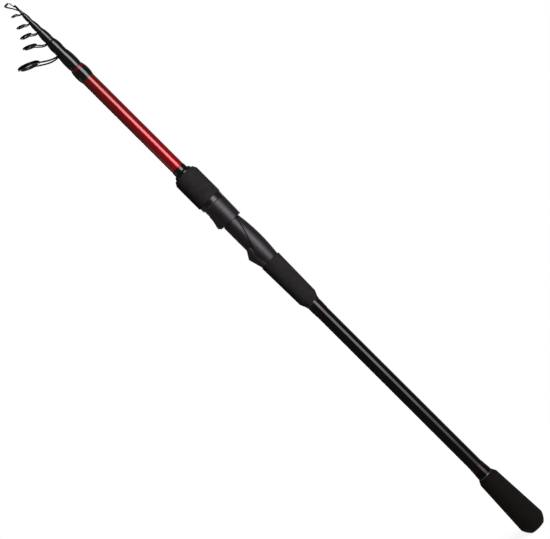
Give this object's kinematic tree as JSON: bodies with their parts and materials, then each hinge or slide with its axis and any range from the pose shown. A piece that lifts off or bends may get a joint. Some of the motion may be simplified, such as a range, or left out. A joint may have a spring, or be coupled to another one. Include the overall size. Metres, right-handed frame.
{
  "type": "telescopic fishing rod",
  "caption": "Closed telescopic spinning rod with a red lacquered butt section, foam grips, a screw-down reel seat, and sliding sections that each carry a line guide.",
  "frame": {"origin": "centre of the butt end face, on the rod's axis", "axes": "+Z along the rod from the butt end to the tip, -X towards the guides and the reel"},
  "size_m": [0.0622, 0.0304, 0.7972],
  "materials": {
    "red_lacquer": "gloss lacquer, red in front and black behind",
    "black_lacquer": "gloss",
    "red_trim": "metallic thread under lacquer",
    "moulded_black": "satin",
    "foam": "matte closed-cell foam",
    "plug_plastic": "matte",
    "rubber": "matte",
    "carbon": "ground and lacquered",
    "gunmetal": "dark plated wire",
    "ring_ceramic": "polished"
  },
  "bodies": {
    "handle": {"butt_blank": "red_lacquer", "front_wrap": "black_lacquer", "front_trim": "red_trim", "foregrip_wrap": "black_lacquer", "seat_body": "moulded_black", "seat_arbor_front": "foam", "seat_arbor_rear": "foam", "rear_grip": "foam", "rear_check": "gunmetal", "rear_wrap": "black_lacquer", "rear_trim": "red_trim", "butt_trim": "red_trim", "butt_wrap": "black_lacquer", "butt_check": "gunmetal", "butt_knob": "foam", "butt_insert": "plug_plastic"},
    "reel_hood": {"front_hood": "moulded_black"},
    "reel_nut": {"seat_nut": "moulded_black", "foregrip": "foam", "foregrip_trim": "black_lacquer"},
    "seal_ring": {"plug_seal": "rubber"},
    "end_plug": {"butt_plug": "plug_plastic", "plug_buffer": "foam"},
    "section_2": {"section_2_blank": "carbon", "section_2_wrap": "black_lacquer", "section_2_guide_frame": "gunmetal", "section_2_guide_ring": "ring_ceramic"},
    "section_3": {"section_3_blank": "carbon", "section_3_wrap": "black_lacquer", "section_3_guide_frame": "gunmetal", "section_3_guide_ring": "ring_ceramic"},
    "section_4": {"section_4_blank": "carbon", "section_4_wrap": "black_lacquer", "section_4_guide_frame": "gunmetal", "section_4_guide_ring": "ring_ceramic"},
    "section_5": {"section_5_blank": "carbon", "section_5_wrap": "black_lacquer", "section_5_guide_frame": "gunmetal", "section_5_guide_ring": "ring_ceramic"},
    "section_6": {"section_6_blank": "carbon", "section_6_wrap": "black_lacquer", "section_6_guide_frame": "gunmetal", "section_6_guide_ring": "ring_ceramic"},
    "tip_section": {"tip_blank": "carbon", "tip_wrap": "black_lacquer", "tip_top_frame": "gunmetal", "tip_top_ring": "ring_ceramic"}
  },
  "joints": [
    {"name": "hood_slide", "type": "slide", "parent": "handle", "child": "reel_hood", "axis": [0, 0, 1], "range_m": [0, 0.0125]},
    {"name": "nut_turn", "type": "hinge", "parent": "reel_hood", "child": "reel_nut", "pos_m": [0, 0, 0.51], "axis": [0, 0, 1], "range_deg": [0, 1800]},
    {"name": "plug_slide", "type": "slide", "parent": "handle", "child": "seal_ring", "axis": [0, 0, -1], "range_m": [0, 0.012]},
    {"name": "plug_turn", "type": "hinge", "parent": "seal_ring", "child": "end_plug", "pos_m": [0, 0, 0], "axis": [0, 0, -1], "range_deg": [0, 2160]},
    {"name": "section_2_slide", "type": "slide", "parent": "handle", "child": "section_2", "axis": [0, 0, 1], "range_m": [0, 0.52]},
    {"name": "section_3_slide", "type": "slide", "parent": "section_2", "child": "section_3", "axis": [0, 0, 1], "range_m": [0, 0.552]},
    {"name": "section_4_slide", "type": "slide", "parent": "section_3", "child": "section_4", "axis": [0, 0, 1], "range_m": [0, 0.574]},
    {"name": "section_5_slide", "type": "slide", "parent": "section_4", "child": "section_5", "axis": [0, 0, 1], "range_m": [0, 0.595]},
    {"name": "section_6_slide", "type": "slide", "parent": "section_5", "child": "section_6", "axis": [0, 0, 1], "range_m": [0, 0.615]},
    {"name": "tip_section_slide", "type": "slide", "parent": "section_6", "child": "tip_section", "axis": [0, 0, 1], "range_m": [0, 0.634]}
  ],
  "couplings": [
    {"joint": "hood_slide", "follows": "nut_turn", "m_per_rad": 0.00039788},
    {"joint": "plug_slide", "follows": "plug_turn", "m_per_rad": 0.0003183}
  ]
}
